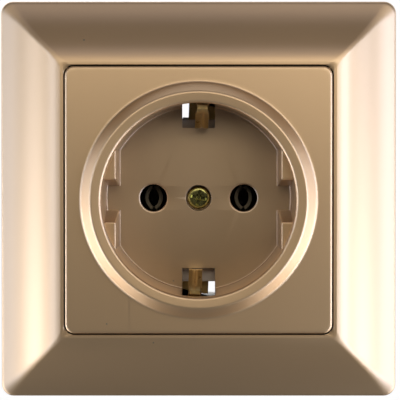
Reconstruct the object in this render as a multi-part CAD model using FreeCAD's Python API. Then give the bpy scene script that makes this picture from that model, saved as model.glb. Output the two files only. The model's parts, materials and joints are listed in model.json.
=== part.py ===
import FreeCAD, Part
import math
import os

# Type F wall socket: a metallic lacquered plate and frame over a flush insert.
# Millimetres. X to the right, Z up, Y into the wall, so the front faces -Y.
# The origin is the centre of the wall's surface: y = 0 is the wall, and y > 0 lies in the wall box.

V = FreeCAD.Vector
INTO_WALL = V(0, 1, 0)
UP = V(0, 0, 1)

# Modelling helps: joined shapes enter each other by a bite, and cutting shapes run past what they cut
bite = 0.1
past = 1.0
same_place = 1e-3
touch_gap = 0.02

# Plug recess, as the plug standard gives it
pin_pitch = 19.0
recess_depth = 17.5
recess_mouth_r = 19.95
recess_taper = 0.55
mouth_length = 3.7
pin_hole_r = 2.85
pin_hole_chamfer = 0.28
plug_pin_length = 19.0

# Square cover plate with its collar, skirt and corner posts
plate_margin = 3.2
plate_corner = 1.9
plate_front = 9.8
plate_thickness = 1.8
plate_edge_round = 0.5
collar_height = 2.4
collar_annulus = 2.35
collar_slope = 2.0
collar_dish = 0.25
collar_land = 2.0
foot_round = 0.8
crest_round = 0.7
rim_round = 0.45
tube_wall = 1.45
floor_thickness = 2.0
floor_corner_round = 0.4
plate_rib_length = 9.0
plate_rib_drop = 0.9
plate_rib_gap = 0.05
skirt_depth = 3.0
skirt_wall = 1.2
skirt_gap = 0.25
post_r = 2.3
post_bite = 0.3

# Guide cheeks left and right in the recess, and the groove between each pair
cheek_height = 2.9
cheek_taper = 0.35
cheek_front_drop = 3.9
groove_floor_half = 2.6
groove_front_half = 4.9
cheek_round = 0.4

# Slots for the earth springs
slot_half = 3.45
slot_reach = 5.15
slot_top_drop = 3.8

# Centre screw with its cross drive
screw_hole_r = 2.72
head_sink = 2.0
head_height = 2.0
head_r = 2.4
head_round = 0.5
thread_r = 1.5
thread_clearance = 0.2
boss_r = 4.2
boss_gap = 0.3
boss_end_gap = 0.05
cover_screw_length = 11.0
cover_screw_turn = 12.0
screw_point = 0.6
drive_half = 1.9
drive_width = 0.7
drive_depth = 1.0
drive_centre_r = 0.91
drive_point_r = 0.35
drive_centre_depth = 1.3

# Frame round the plate
frame_over_ring = 5.5
frame_corner = 2.5
frame_inner_corner = 1.2
plate_proud = 0.3
frame_rim_front = 3.0
frame_rim_round = 0.7
frame_wall = 1.8
plate_gap = 0.25
land_width = 0.7
land_corner = 0.9
bevel_sections = 9
bevel_swing = 0.55
bevel_skew = 0.85
flange_thickness = 1.5
flange_reach = 1.9
frame_rib_place = 16.0
frame_rib_thickness = 1.0
frame_rib_clear = 0.6

# Steel mounting ring on the wall, riveted to the base
ring_over_screws = 5.5
ring_corner = 5.0
ring_thickness = 1.0
ring_hole_gap = 0.9
box_screw_pitch = 60.0
box_slot_length = 6.0
box_slot_r = 1.8
rivet_post_distance = 4.0
rivet_r = 1.25
rivet_head_r = 2.1
rivet_head_height = 0.6
rivet_head_round = 0.42
rivet_tail_r = 1.9
rivet_clearance = 0.05
corner_hole_inset = 6.0
corner_hole_r = 1.75

# Moulded base in the wall box
cup_gap = 0.4
cup_wall = 1.5
cup_overlap = 1.5
base_side_inset = 3.0
base_wall = 2.6
base_chamfer = 5.5
base_floor = 2.8
lug_r = 2.8
lug_depth = 4.0
tower_side_wall = 2.3
tower_wall = 1.5

# Insulating cover over the contact chambers, with its two small screws
contact_cover_gap = 0.4
contact_cover_thickness = 2.0
contact_cover_ledge = 2.2
cover_pin_hole_r = 3.6
small_screw_inset = 3.4
small_screw_r = 1.1
small_screw_gap = 0.1
small_head_r = 1.9
small_head_height = 1.1
small_head_gap = 0.05
small_screw_length = 7.0
small_slot_depth = 0.5
small_slot_width = 0.5

# Live contacts, each folded from one sheet
sheet = 0.8
leaf_r = 2.4
leaf_shift = 1.3
leaf_angle = 57.0
leaf_front_gap = 1.1
contact_end_gap = 0.65
contact_back_half = 3.3
contact_bend = 0.8
neck_half = 1.35
neck_start = 2.5
chamber_side_gap = 0.5
chamber_top_gap = 1.2
chamber_end_gap = 1.2

# Screw terminals
terminal_inset = 6.0
flange_half_x = 4.2
flange_half_y = 4.4
terminal_flange_drop = 13.1
wire_gap = 1.8
wire_offset = 3.0
wire_hole_r = 1.5
clamp_thickness = 1.6
clamp_half_x = 4.1
clamp_half_y = 3.4
clamp_corner = 0.6
clamp_side_gap = 0.5
clamp_front_room = 2.0
clamp_open_room = 1.8
terminal_head_r = 2.2
terminal_head_height = 1.5
terminal_head_gap = 0.2
terminal_slot_depth = 0.7
terminal_access_r = 2.0
terminal_thread_past = 1.5

# Earth strap, turned a little in its channel as on the real one
earth_turn = 2.4
strap_half = 2.85
strap_sheet = 0.8
strap_sink = 0.6
strap_end_inset = 0.05
strap_collar_r = 2.4
strap_collar_depth = 1.8
strap_collar_gap = 0.4
channel_clearance = 0.3
channel_end_gap = 0.6
spring_sheet = 0.6
spring_half = 1.4
spring_foot = 3.0
spring_top_gap = 0.3
spring_shoulder_inset = 1.55
spring_shoulder_drop = 0.9
spring_crest_inset = 4.75
spring_crest_rise = 6.5
spring_tail_inset = 4.05
spring_tail_drop = 1.2
spring_foot_bend = 0.8
spring_top_bend = 0.55
spring_shoulder_bend = 1.2
spring_crest_bend = 2.0
pocket_reach = 3.3
earth_plate_length = 6.5
earth_leg_past = 6.35

# Claws that spread in the wall box when their screws are turned
claw_screw_z = 7.5
claw_screw_r = 1.5
claw_screw_inset = 3.0
claw_head_r = 2.8
claw_head_height = 2.0
claw_head_round = 0.5
claw_slot_depth = 0.9
claw_slot_width = 0.8
claw_sheet = 1.5
claw_leg_sheet = 1.0
claw_leg_gap = 0.3
claw_half_width = 3.25
claw_tab_inset = 13.0
claw_end_inset = 0.5
claw_base_gap = 0.6
claw_tab_reach = 4.0
claw_hole_clearance = 0.05
claw_tooth = 1.4
claw_teeth = 3
claw_tilt = 15.0
claw_travel = 5.0
claw_ramp_clearance = 0.3
rail_thickness = 1.2
rail_gap = 0.4
ring_slot_clearance = 0.3
ring_slot_swing = 0.35

# Places along Y that several pieces share
plate_back = -(plate_front - plate_thickness)
frame_front = plate_front - plate_proud
crest_y = -(plate_front + collar_height)
rim_y = crest_y + collar_dish
floor_y = rim_y + recess_depth
floor_back = floor_y + floor_thickness
contact_cover_front = floor_back + contact_cover_gap
base_front = contact_cover_front + contact_cover_thickness
strap_front = base_front + strap_sink
strap_back = strap_front + strap_sheet
contact_back = floor_y + plug_pin_length + contact_end_gap + sheet
chamber_back = contact_back + chamber_end_gap
base_depth = chamber_back + base_floor
terminal_depth = contact_back - terminal_inset
claw_place = base_depth - claw_tab_inset
claw_end = base_depth - claw_end_inset
slot_top = rim_y + slot_top_drop

# Places across the socket that several pieces share
recess_floor_r = recess_mouth_r - recess_taper
collar_crest_r = recess_mouth_r + collar_annulus
collar_foot_r = collar_crest_r + collar_slope
tube_r = recess_mouth_r + tube_wall
cup_inner_r = tube_r + cup_gap
cup_outer_r = cup_inner_r + cup_wall
ring_hole_r = cup_inner_r + ring_hole_gap
cheek_front_half = recess_mouth_r - cheek_height
slot_inner_r = recess_mouth_r - slot_reach
cover_window_r = slot_inner_r + contact_cover_ledge
plate_size = 2 * (collar_foot_r + plate_margin)
opening_half = plate_size / 2 + plate_gap
skirt_half = opening_half - flange_reach - skirt_gap
post_place = skirt_half - skirt_wall - post_r + post_bite
rivet_place = post_place - rivet_post_distance
ring_size = box_screw_pitch + 2 * ring_over_screws
corner_hole_place = ring_size / 2 - corner_hole_inset
frame_size = ring_size + 2 * frame_over_ring
small_screw_place = tube_r - small_screw_inset
chamber_half_x = flange_half_x + chamber_side_gap
chamber_top = contact_back_half + chamber_top_gap
chamber_bottom = terminal_flange_drop + sheet + terminal_head_height + terminal_head_gap
base_half_z = chamber_bottom + base_wall
pocket_half = clamp_half_x + clamp_side_gap
tower_half_x = pocket_half + tower_side_wall
strap_reach = recess_mouth_r - strap_end_inset
pocket_inner = strap_reach - pocket_reach
earth_leg_place = strap_reach - sheet
earth_clamp_low = earth_leg_place - sheet / 2 - wire_gap - clamp_thickness
earth_plate_start = earth_leg_place - earth_plate_length
pocket_outer = earth_leg_place + sheet / 2 + terminal_head_height + terminal_head_gap
tower_z = pocket_outer + tower_wall
base_half_x = cup_outer_r - base_side_inset
claw_inner_x = base_half_x + claw_base_gap
claw_screw_x = claw_inner_x + claw_tab_reach
claw_pivot_x = claw_screw_x - claw_head_r
claw_leg_x = claw_screw_x + claw_screw_r + claw_leg_gap
pin_places = (-pin_pitch / 2, pin_pitch / 2)


def cylinder(radius, y0, y1, x=0.0, z=0.0):
    return Part.makeCylinder(radius, y1 - y0, V(x, y0, z), INTO_WALL)


def upright_cylinder(radius, z0, z1, x, y):
    return Part.makeCylinder(radius, z1 - z0, V(x, y, z0), UP)


def cone(r0, r1, y0, y1, x=0.0, z=0.0):
    return Part.makeCone(r0, r1, y1 - y0, V(x, y0, z), INTO_WALL)


def block(x0, x1, y0, y1, z0, z1):
    return Part.makeBox(x1 - x0, y1 - y0, z1 - z0, V(x0, y0, z0))


def turned(shape, degrees):
    """The shape turned about the socket's axis, clockwise as seen from the front."""
    copy = shape.copy()
    copy.rotate(V(0, 0, 0), INTO_WALL, degrees)
    return copy


def mirrored(shape):
    return shape.mirror(V(0, 0, 0), V(1, 0, 0))


def four_corners(at):
    return [(x, z) for x in (-at, at) for z in (-at, at)]


def union(shapes):
    return shapes[0].multiFuse(shapes[1:]).removeSplitter() if len(shapes) > 1 else shapes[0]


def front_edges(shape, y):
    """The edges that lie in the plane y."""
    return [e for e in shape.Edges if abs(e.BoundBox.YMin - y) < same_place
            and abs(e.BoundBox.YMax - y) < same_place]


def rounded_wire(corners, place):
    """Closed wire through corners (u, v) or (u, v, radius); place turns (u, v) into a point."""
    count = len(corners)
    starts, middles, ends = [], [], []
    for i, corner in enumerate(corners):
        here = V(corner[0], corner[1], 0)
        before = V(*corners[i - 1][:2], 0) - here
        after = V(*corners[(i + 1) % count][:2], 0) - here
        radius = corner[2] if len(corner) > 2 else 0.0
        half = before.getAngle(after) / 2
        before.normalize()
        after.normalize()
        trim = radius / math.tan(half)
        starts.append(here + before * trim)
        ends.append(here + after * trim)
        inward = (before + after).normalize() if radius else V(0, 0, 0)
        middles.append(here + inward * (radius / math.sin(half) - radius))
    edges = []
    for i in range(count):
        a, b, c, d = (place(p.x, p.y) for p in (ends[i - 1], starts[i], middles[i], ends[i]))
        if a.distanceToPoint(b) > same_place:
            edges.append(Part.LineSegment(a, b).toShape())
        if b.distanceToPoint(d) > same_place:
            edges.append(Part.Arc(b, c, d).toShape())
    return Part.Wire(edges)


def square_wire(half_x, half_z, radius, y):
    corners = [(half_x, -half_z, radius), (half_x, half_z, radius)]
    corners += [(-half_x, half_z, radius), (-half_x, -half_z, radius)]
    return rounded_wire(corners, lambda u, v: V(u, y, v))


def slab(half_x, half_z, radius, y0, y1):
    """A rounded rectangle, thick from y0 to y1."""
    return Part.Face(square_wire(half_x, half_z, radius, y0)).extrude(V(0, y1 - y0, 0))


def lathe(corners):
    """A solid turned about the socket's axis from its half section (r, y)."""
    return Part.Face(rounded_wire(corners, lambda u, v: V(u, v, 0))).revolve(
        V(0, 0, 0), INTO_WALL, 360)


def strip_outline(line, thickness):
    """Corners of a folded strip of even thickness about its centre line (u, v, bend radius)."""
    sides = []
    for side in (1, -1):
        row = []
        for i, (u, v, *bend) in enumerate(line):
            here = V(u, v, 0)
            into = (here - V(*line[i - 1][:2], 0)) if i else (V(*line[1][:2], 0) - here)
            out = (V(*line[i + 1][:2], 0) - here) if i + 1 < len(line) else into
            into.normalize()
            out = V(out).normalize()
            normal = (V(-into.y, into.x, 0) + V(-out.y, out.x, 0)).normalize()
            reach = thickness / 2 / normal.dot(V(-out.y, out.x, 0))
            outer = (into.x * out.y - into.y * out.x) * side < 0
            radius = (bend[0] if bend else 0) + (thickness / 2 if outer else -thickness / 2)
            point = here + normal * (side * reach)
            row.append((point.x, point.y, radius if bend and radius > 0 else 0))
        sides.append(row)
    return sides[0] + sides[1][::-1]


def folded_strip(line, thickness, x0, x1):
    """A strip folded along (z, y), as wide as x0 to x1."""
    wire = rounded_wire(strip_outline(line, thickness), lambda u, v: V(x0, v, u))
    return Part.Face(wire).extrude(V(x1 - x0, 0, 0))


def bevel_wire(share):
    """Section of the frame's ogee bevel; share runs from 0 at the land to 1 at the rim."""
    inner = opening_half + land_width
    run = frame_size / 2 - inner
    rise = frame_front - frame_rim_front
    swing = bevel_swing * math.sin(2 * math.pi * share ** bevel_skew) / (2 * math.pi)
    half = inner + run * share
    corner = land_corner + (frame_corner - land_corner) * share
    return square_wire(half, half, corner, -frame_front + rise * (share - swing))


def frame_ribs(inner, outer):
    """Stiffening ribs under the bevel, two on each side of the frame."""
    back = -ring_thickness - frame_rib_clear
    rib = block(-frame_rib_thickness / 2, frame_rib_thickness / 2, -frame_front, back,
                inner - past, outer + past)
    ribs = []
    for x in (-frame_rib_place, frame_rib_place):
        copy = rib.copy()
        copy.translate(V(x, 0, 0))
        ribs += [turned(copy, 90 * k) for k in range(4)]
    return ribs


def frame_hollow(bevel):
    """What is left open behind the frame's shell, between its ribs and its flange."""
    half = frame_size / 2
    shifted = bevel.copy()
    shifted.translate(V(0, frame_wall, 0))
    deep = slab(half, half, frame_corner, -frame_rim_front + frame_wall, past)
    limit = half - frame_wall
    hollow = union([shifted, deep]).common(slab(limit, limit, frame_inner_corner, -frame_front, past))
    collar = opening_half + frame_wall
    flange = slab(collar, collar, plate_corner + frame_wall, -frame_front, plate_back + flange_thickness)
    return hollow.cut([flange] + frame_ribs(collar, limit))


def outer_frame():
    half = frame_size / 2
    shares = [i / (bevel_sections - 1) for i in range(bevel_sections)]
    bevel = Part.makeLoft([bevel_wire(s) for s in shares], True, False)
    body = union([bevel, slab(half, half, frame_corner, -frame_rim_front, 0)])
    body = body.makeFillet(frame_rim_round, front_edges(body, -frame_rim_front))
    flange_half = opening_half - flange_reach
    opening = slab(opening_half, opening_half, plate_corner + plate_gap, -frame_front - past, plate_back)
    passage = slab(flange_half, flange_half, plate_corner, plate_back - past, past)
    return body.cut([frame_hollow(bevel), opening, passage])


def cheeks():
    """The raised guides at both sides of the recess, with the groove across them."""
    front = rim_y + cheek_front_drop
    end = floor_y + bite
    chord = [(cheek_front_half, front), (cheek_front_half - cheek_taper, end), (tube_r, end), (tube_r, front)]
    guide = Part.Face(rounded_wire(chord, lambda u, v: V(u, v, -recess_mouth_r)))
    guide = guide.extrude(V(0, 0, 2 * recess_mouth_r))
    groove = [(-groove_front_half, front), (groove_front_half, front),
              (groove_floor_half, end + bite), (-groove_floor_half, end + bite)]
    groove = Part.Face(rounded_wire(groove, lambda u, v: V(0, v, u))).extrude(V(tube_r, 0, 0))
    guide = guide.cut(groove)
    sharp = [e for e in guide.Edges if e.BoundBox.XMax < recess_mouth_r
             and e.BoundBox.YMin < front + same_place and e.Length > cheek_front_drop]
    guide = guide.makeFillet(cheek_round, sharp)
    guide = guide.common(cylinder((tube_r + recess_mouth_r) / 2, front, floor_back))
    return [guide, mirrored(guide)]


def earth_slots():
    """The openings that the earth springs stand in, top and bottom, through the wall and the floor."""
    slot = block(-slot_half, slot_half, slot_top, floor_back + past, slot_inner_r, tube_r + past)
    return [slot, turned(slot, 180)]


def pin_hole(x):
    chamfer = cone(pin_hole_r + pin_hole_chamfer, pin_hole_r, floor_y, floor_y + pin_hole_chamfer, x)
    return [cylinder(pin_hole_r, floor_y - past, floor_back + past, x), chamfer]


def recess_bowl():
    """Collar, recess wall and floor, turned in one with a ring of the plate's front."""
    land_r = collar_foot_r + collar_land
    land_back = plate_back - plate_thickness / 2
    return lathe([(0, floor_back), (tube_r, floor_back), (tube_r, land_back), (land_r, land_back),
                  (land_r, -plate_front), (collar_foot_r, -plate_front, foot_round),
                  (collar_crest_r, crest_y, crest_round), (recess_mouth_r, rim_y, rim_round),
                  (recess_mouth_r, rim_y + mouth_length), (recess_floor_r, floor_y, floor_corner_round),
                  (0, floor_y)])


def plate_skirt():
    """The square wall behind the plate that passes through the frame, and the posts on the ring."""
    inside = skirt_half - skirt_wall
    skirt = slab(skirt_half, skirt_half, plate_corner, plate_back - bite, plate_back + skirt_depth)
    skirt = skirt.cut(slab(inside, inside, plate_corner - skirt_wall, plate_back - past, 0))
    posts = [cylinder(post_r, plate_back - bite, -ring_thickness, x, z) for x, z in four_corners(post_place)]
    return [skirt] + posts


def plate_ribs():
    """The ribs in the middle of each side that centre the plate in the frame."""
    half = plate_size / 2
    rib = block(-plate_rib_length / 2, plate_rib_length / 2, -plate_front + plate_rib_drop, plate_back,
                half - past, half + plate_gap - plate_rib_gap)
    return [turned(rib, 90 * k) for k in range(4)]


def front_cover():
    half = plate_size / 2
    plate = slab(half, half, plate_corner, -plate_front, plate_back)
    plate = plate.makeFillet(plate_edge_round, front_edges(plate, -plate_front))
    plate = plate.cut(cylinder(tube_r - bite, -plate_front - past, 0))
    boss = cylinder(boss_r, floor_back - bite, strap_front)
    body = union([plate, recess_bowl(), boss] + plate_skirt() + plate_ribs() + cheeks())
    seat = floor_y + head_sink + head_height
    well = cylinder(screw_hole_r, floor_y - past, seat)
    bore = cylinder(thread_r + thread_clearance, seat - past, strap_front + past)
    holes = [hole for x in pin_places for hole in pin_hole(x)]
    return body.cut([well, bore] + earth_slots() + holes)


def cross_recess(top):
    """The cross drive in a screw head whose face is at top."""
    arm = block(-drive_half, drive_half, top - past, top + drive_depth, -drive_width / 2, drive_width / 2)
    return [arm, turned(arm, 90), cone(drive_centre_r, drive_point_r, top, top + drive_centre_depth)]


def cover_screw():
    top = floor_y + head_sink
    seat = top + head_height
    end = seat + cover_screw_length
    body = lathe([(0, top), (head_r, top, head_round), (head_r, seat), (thread_r, seat),
                  (thread_r, end - screw_point), (thread_r - screw_point, end), (0, end)])
    return turned(body.cut(cross_recess(top)), cover_screw_turn)


def contact_cover():
    front, back = contact_cover_front - past, base_front + past
    disc = cylinder(tube_r, contact_cover_front, base_front)
    tools = [cylinder(boss_r + boss_gap, front, back)]
    tools += [cylinder(cover_pin_hole_r, front, back, x) for x in pin_places]
    hole_r = small_screw_r + small_screw_gap
    for x in (-small_screw_place, small_screw_place):
        tools.append(cylinder(hole_r, front, back, x))
        tools.append(cone(small_head_r, hole_r, contact_cover_front,
                          contact_cover_front + small_head_height + small_head_gap, x))
    window = block(-pocket_half, pocket_half, front, back, cover_window_r, cup_outer_r)
    return disc.cut(tools + [window, turned(window, 180)])


def small_screw(x):
    """A countersunk screw that holds the contact cover, with its plain slot."""
    top = contact_cover_front + small_head_gap
    head_end = top + small_head_height
    head = cone(small_head_r - small_head_gap, small_screw_r, top, head_end, x)
    shank = cylinder(small_screw_r, head_end - touch_gap, top + small_screw_length, x)
    slot = block(x - small_head_r, x + small_head_r, top - past, top + small_slot_depth,
                 -small_slot_width / 2, small_slot_width / 2)
    return union([head, shank]).cut(slot)


def contact_cover_screws():
    return Part.makeCompound([small_screw(x) for x in (-small_screw_place, small_screw_place)])


def ring_rivets():
    face, back = -ring_thickness, lug_depth
    rivets = []
    for x, z in four_corners(rivet_place):
        shank = cylinder(rivet_r, face - bite, back + bite, x, z)
        head = cylinder(rivet_head_r, face - rivet_head_height, face, x, z)
        head = head.makeFillet(rivet_head_round, front_edges(head, face - rivet_head_height))
        tail = cone(rivet_tail_r, rivet_r, back, back + rivet_head_height, x, z)
        rivets.append(union([shank, head, tail]))
    return Part.makeCompound(rivets)


def box_slots():
    """The four slots for box screws, each running towards the socket's axis."""
    slot = slab(box_slot_length / 2, box_slot_r, box_slot_r, -ring_thickness - past, past)
    slot.translate(V(box_screw_pitch / 2, 0, 0))
    return [turned(slot, 90 * k) for k in range(4)]


def claw_slot():
    """The hole for the right claw screw, longer outwards so that the screw can tilt."""
    radius = claw_screw_r + ring_slot_clearance
    front = -ring_thickness - past
    outer = claw_screw_x + ring_slot_swing
    ends = [cylinder(radius, front, past, x, claw_screw_z) for x in (claw_screw_x, outer)]
    web = block(claw_screw_x, outer, front, past, claw_screw_z - radius, claw_screw_z + radius)
    return union(ends + [web])


def mounting_ring():
    half = ring_size / 2
    front = -ring_thickness - past
    tools = [cylinder(ring_hole_r, front, past)] + box_slots()
    tools += [cylinder(rivet_r + rivet_clearance, front, past, x, z) for x, z in four_corners(rivet_place)]
    tools += [cylinder(corner_hole_r, front, past, x, z) for x, z in four_corners(corner_hole_place)]
    tools += [claw_slot(), turned(claw_slot(), 180)]
    return slab(half, half, ring_corner, -ring_thickness, 0).cut(tools)


def rivet_lug(x, z):
    """A round pad for the rivet at (x, z), joined to the cup."""
    distance = math.hypot(x, z)
    pad = cylinder(lug_r, 0, lug_depth, 0, distance)
    web = block(-lug_r, lug_r, 0, lug_depth, cup_inner_r + cup_wall / 2, distance)
    return turned(union([pad, web]), math.degrees(math.atan2(x, z)))


def claw_tab_corner(share):
    """Where the claw's inner front corner is when the claw has gone that share of its way."""
    tilt = math.radians(claw_tilt * share)
    out, back = claw_inner_x - claw_pivot_x, claw_place - claw_travel * share + ring_thickness
    x = claw_pivot_x + out * math.cos(tilt) + back * math.sin(tilt)
    return x, -ring_thickness + back * math.cos(tilt) - out * math.sin(tilt)


def claw_rails():
    """The two rails on the base's right side that push the claw outwards as it comes forward."""
    x0, y0 = claw_tab_corner(0)
    x1, y1 = claw_tab_corner(1)
    root = base_half_x - rail_thickness
    corners = [(root, base_front), (x1 - claw_ramp_clearance, base_front),
               (x1 - claw_ramp_clearance, y1), (x0 - claw_ramp_clearance, y0), (root, y0)]
    inner = claw_screw_r + rail_gap
    rails = []
    for z in (claw_screw_z - inner - rail_thickness, claw_screw_z + inner):
        face = Part.Face(rounded_wire(corners, lambda u, v, z=z: V(u, v, z)))
        rails.append(face.extrude(V(0, 0, rail_thickness)))
    return rails


def chamber(x):
    """The space for one live contact and its terminal, with its wire and screw holes."""
    room = block(x - chamber_half_x, x + chamber_half_x, base_front - past, chamber_back,
                 -chamber_bottom, chamber_top)
    wire_z = -(terminal_flange_drop - wire_gap / 2)
    wires = [cylinder(wire_hole_r, chamber_back - past, base_depth + past, x + dx, wire_z)
             for dx in (-wire_offset, wire_offset)]
    access = upright_cylinder(terminal_access_r, -base_half_z - past, -chamber_bottom + past,
                              x, terminal_depth)
    return [room, access] + wires


def earth_spaces():
    """The turned channel of the earth strap, its pockets through the base and its terminal's room."""
    width = strap_half + channel_clearance
    end = strap_reach + channel_end_gap
    back = base_depth + past
    channel = block(-width, width, base_front - past, strap_back, -end, end)
    seat = block(-width, width, strap_back - past, strap_back + sheet,
                 earth_plate_start - channel_clearance, pocket_inner + past)
    pocket = block(-pocket_half, pocket_half, base_front - past, back, pocket_inner, pocket_outer)
    clamp_room = block(-pocket_half, pocket_half, terminal_depth - clamp_half_y - clamp_front_room, back,
                       earth_clamp_low - clamp_open_room, pocket_inner + past)
    access = upright_cylinder(terminal_access_r, pocket_outer - past, tower_z + past, 0, terminal_depth)
    centre = cylinder(strap_collar_r + strap_collar_gap, strap_back - past, strap_back + cover_screw_length)
    boss_seat = cylinder(boss_r + boss_gap, base_front - past, strap_front + boss_end_gap)
    along_strap = [channel, seat, access, pocket, turned(pocket, 180), clamp_room]
    return [turned(t, earth_turn) for t in along_strap] + [centre, boss_seat]


def socket_base():
    cup = cylinder(cup_outer_r, 0, strap_back + cup_overlap).cut(cylinder(cup_inner_r, -past, base_front))
    body = slab(base_half_x, base_half_z, 0, base_front, base_depth)
    long_edges = [e for e in body.Edges if e.BoundBox.YLength > base_depth - base_front - same_place]
    body = body.makeChamfer(base_chamfer, long_edges)
    tower = block(-tower_half_x, tower_half_x, base_front, base_depth, -tower_z, tower_z)
    rails = claw_rails()
    rails += [turned(r, 180) for r in rails]
    whole = union([cup, body, tower] + [rivet_lug(x, z) for x, z in four_corners(rivet_place)] + rails)
    tools = [cylinder(rivet_r + rivet_clearance, -past, lug_depth + past, x, z)
             for x, z in four_corners(rivet_place)]
    tools += [cylinder(small_screw_r + touch_gap, base_front - past,
                       contact_cover_front + small_screw_length + past, x)
              for x in (-small_screw_place, small_screw_place)]
    for x in pin_places:
        tools += chamber(x)
    return whole.cut(tools + earth_spaces())


def leaf(x, side):
    """One curved leaf beside the plug pin at x; its hollow faces the pin."""
    y0, y1 = base_front + leaf_front_gap, contact_back
    centre = x - side * leaf_shift

    def at(radius, degrees):
        a = math.radians(degrees)
        return V(centre + side * radius * math.cos(a), y0, radius * math.sin(a))

    outer = leaf_r + sheet
    edges = [Part.Arc(at(leaf_r, -leaf_angle), at(leaf_r, 0), at(leaf_r, leaf_angle)).toShape(),
             Part.LineSegment(at(leaf_r, leaf_angle), at(outer, leaf_angle)).toShape(),
             Part.Arc(at(outer, leaf_angle), at(outer, 0), at(outer, -leaf_angle)).toShape(),
             Part.LineSegment(at(outer, -leaf_angle), at(leaf_r, -leaf_angle)).toShape()]
    return Part.Face(Part.Wire(edges)).extrude(V(0, y1 - y0, 0))


def live_contact(x):
    """Leaves, back plate, neck and terminal flange of one live contact, from one folded sheet."""
    plate = block(x - contact_back_half, x + contact_back_half, contact_back - sheet, contact_back,
                  -contact_back_half, contact_back_half)
    drop = terminal_flange_drop + sheet / 2
    start = terminal_depth - flange_half_y
    line = [(-neck_start, contact_back - sheet / 2), (-drop, contact_back - sheet / 2, contact_bend),
            (-drop, start)]
    neck = folded_strip(line, sheet, x - neck_half, x + neck_half)
    flange = block(x - flange_half_x, x + flange_half_x, start, terminal_depth + flange_half_y,
                   -drop - sheet / 2, -drop + sheet / 2)
    hole = upright_cylinder(thread_r + thread_clearance, -drop - past, -drop + past, x, terminal_depth)
    return union([leaf(x, -1), leaf(x, 1), plate, neck, flange]).cut(hole)


def terminal_screw(x, face, way):
    """A terminal screw along Z: its head lies on the flange face and its thread runs the way given."""
    axis = UP * way
    base = V(x, terminal_depth, face)
    head = Part.makeCylinder(terminal_head_r, terminal_head_height, base, axis * -1)
    shank = Part.makeCylinder(thread_r, sheet + wire_gap + clamp_thickness + terminal_thread_past, base, axis)
    end = face - way * terminal_head_height
    slot = block(x - terminal_head_r, x + terminal_head_r, terminal_depth - drive_width / 2,
                 terminal_depth + drive_width / 2, end - terminal_slot_depth, end + terminal_slot_depth)
    return union([head, shank]).cut(slot)


def wire_clamp(x, low):
    """The square nut plate that pulls the conductors against the flange."""
    high = low + clamp_thickness
    plate = block(x - clamp_half_x, x + clamp_half_x, terminal_depth - clamp_half_y,
                  terminal_depth + clamp_half_y, low, high)
    edges = [e for e in plate.Edges if e.BoundBox.ZLength > clamp_thickness / 2]
    plate = plate.makeFillet(clamp_corner, edges)
    return plate.cut(upright_cylinder(thread_r + touch_gap, low - past, high + past, x, terminal_depth))


def earth_spring():
    """The hairpin spring at the strap's upper end: up along the wall and back down inwards."""
    wall = strap_reach - spring_sheet / 2
    foot = strap_back - spring_sheet / 2
    top = slot_top + spring_sheet / 2 + spring_top_gap
    line = [(wall - spring_foot, foot), (wall, foot, spring_foot_bend), (wall, top, spring_top_bend),
            (recess_mouth_r - spring_shoulder_inset, top + spring_shoulder_drop, spring_shoulder_bend),
            (recess_mouth_r - spring_crest_inset, floor_y - spring_crest_rise, spring_crest_bend),
            (recess_mouth_r - spring_tail_inset, floor_y + spring_tail_drop)]
    return folded_strip(line, spring_sheet, -spring_half, spring_half)


def earth_strap():
    bar = block(-strap_half, strap_half, strap_front, strap_back, -strap_reach, strap_reach)
    collar_back = strap_back + strap_collar_depth
    nut = cylinder(strap_collar_r, strap_back - bite, collar_back)
    spring = earth_spring()
    whole = union([bar, nut, spring, turned(spring, 180)])
    hole = cylinder(thread_r + touch_gap, strap_front - past, collar_back + past)
    return turned(whole.cut(hole), earth_turn)


def earth_terminal():
    """The angled plate behind the strap's upper end that the earth conductors are clamped to."""
    middle = strap_back + sheet / 2
    line = [(earth_plate_start, middle), (earth_leg_place, middle, contact_bend),
            (earth_leg_place, terminal_depth + earth_leg_past)]
    plate = folded_strip(line, sheet, -strap_half, strap_half)
    hole = upright_cylinder(thread_r + thread_clearance, earth_leg_place - past, earth_leg_place + past,
                            0, terminal_depth)
    return turned(plate.cut(hole), earth_turn)


def claw_screw():
    """The right claw screw, its head on the ring and its thread along the base."""
    face = -ring_thickness
    top = face - claw_head_height
    head = cylinder(claw_head_r, top, face, claw_screw_x, claw_screw_z)
    head = head.makeFillet(claw_head_round, front_edges(head, top))
    shank = cylinder(claw_screw_r, face - bite, base_depth - claw_screw_inset, claw_screw_x, claw_screw_z)
    slot = block(claw_screw_x - claw_head_r, claw_screw_x + claw_head_r, top - past, top + claw_slot_depth,
                 claw_screw_z - claw_slot_width / 2, claw_screw_z + claw_slot_width / 2)
    return union([head, shank]).cut(slot)


def claw():
    """The right claw: a threaded tab across the screw and a leg with teeth that grips the wall box."""
    low, high = claw_screw_z - claw_half_width, claw_screw_z + claw_half_width
    outer_x = claw_leg_x + claw_leg_sheet
    tab = block(claw_inner_x, outer_x, claw_place, claw_place + claw_sheet, low, high)
    root = claw_end - claw_tooth
    leg = block(claw_leg_x, outer_x, claw_place, root, low, high)
    pitch = 2 * claw_half_width / claw_teeth
    teeth = []
    for k in range(claw_teeth):
        z = low + pitch * k
        corners = [(z, root - bite), (z + pitch, root - bite), (z + pitch / 2, claw_end)]
        face = Part.Face(rounded_wire(corners, lambda u, v: V(claw_leg_x, v, u)))
        teeth.append(face.extrude(V(claw_leg_sheet, 0, 0)))
    hole = cylinder(claw_screw_r + claw_hole_clearance, claw_place - past, claw_end,
                    claw_screw_x, claw_screw_z)
    return union([tab, leg] + teeth).cut(hole)


def other_side(shape):
    """The left claw's pieces are the right ones turned half round, so they lie below the middle."""
    return turned(shape, 180)


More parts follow.
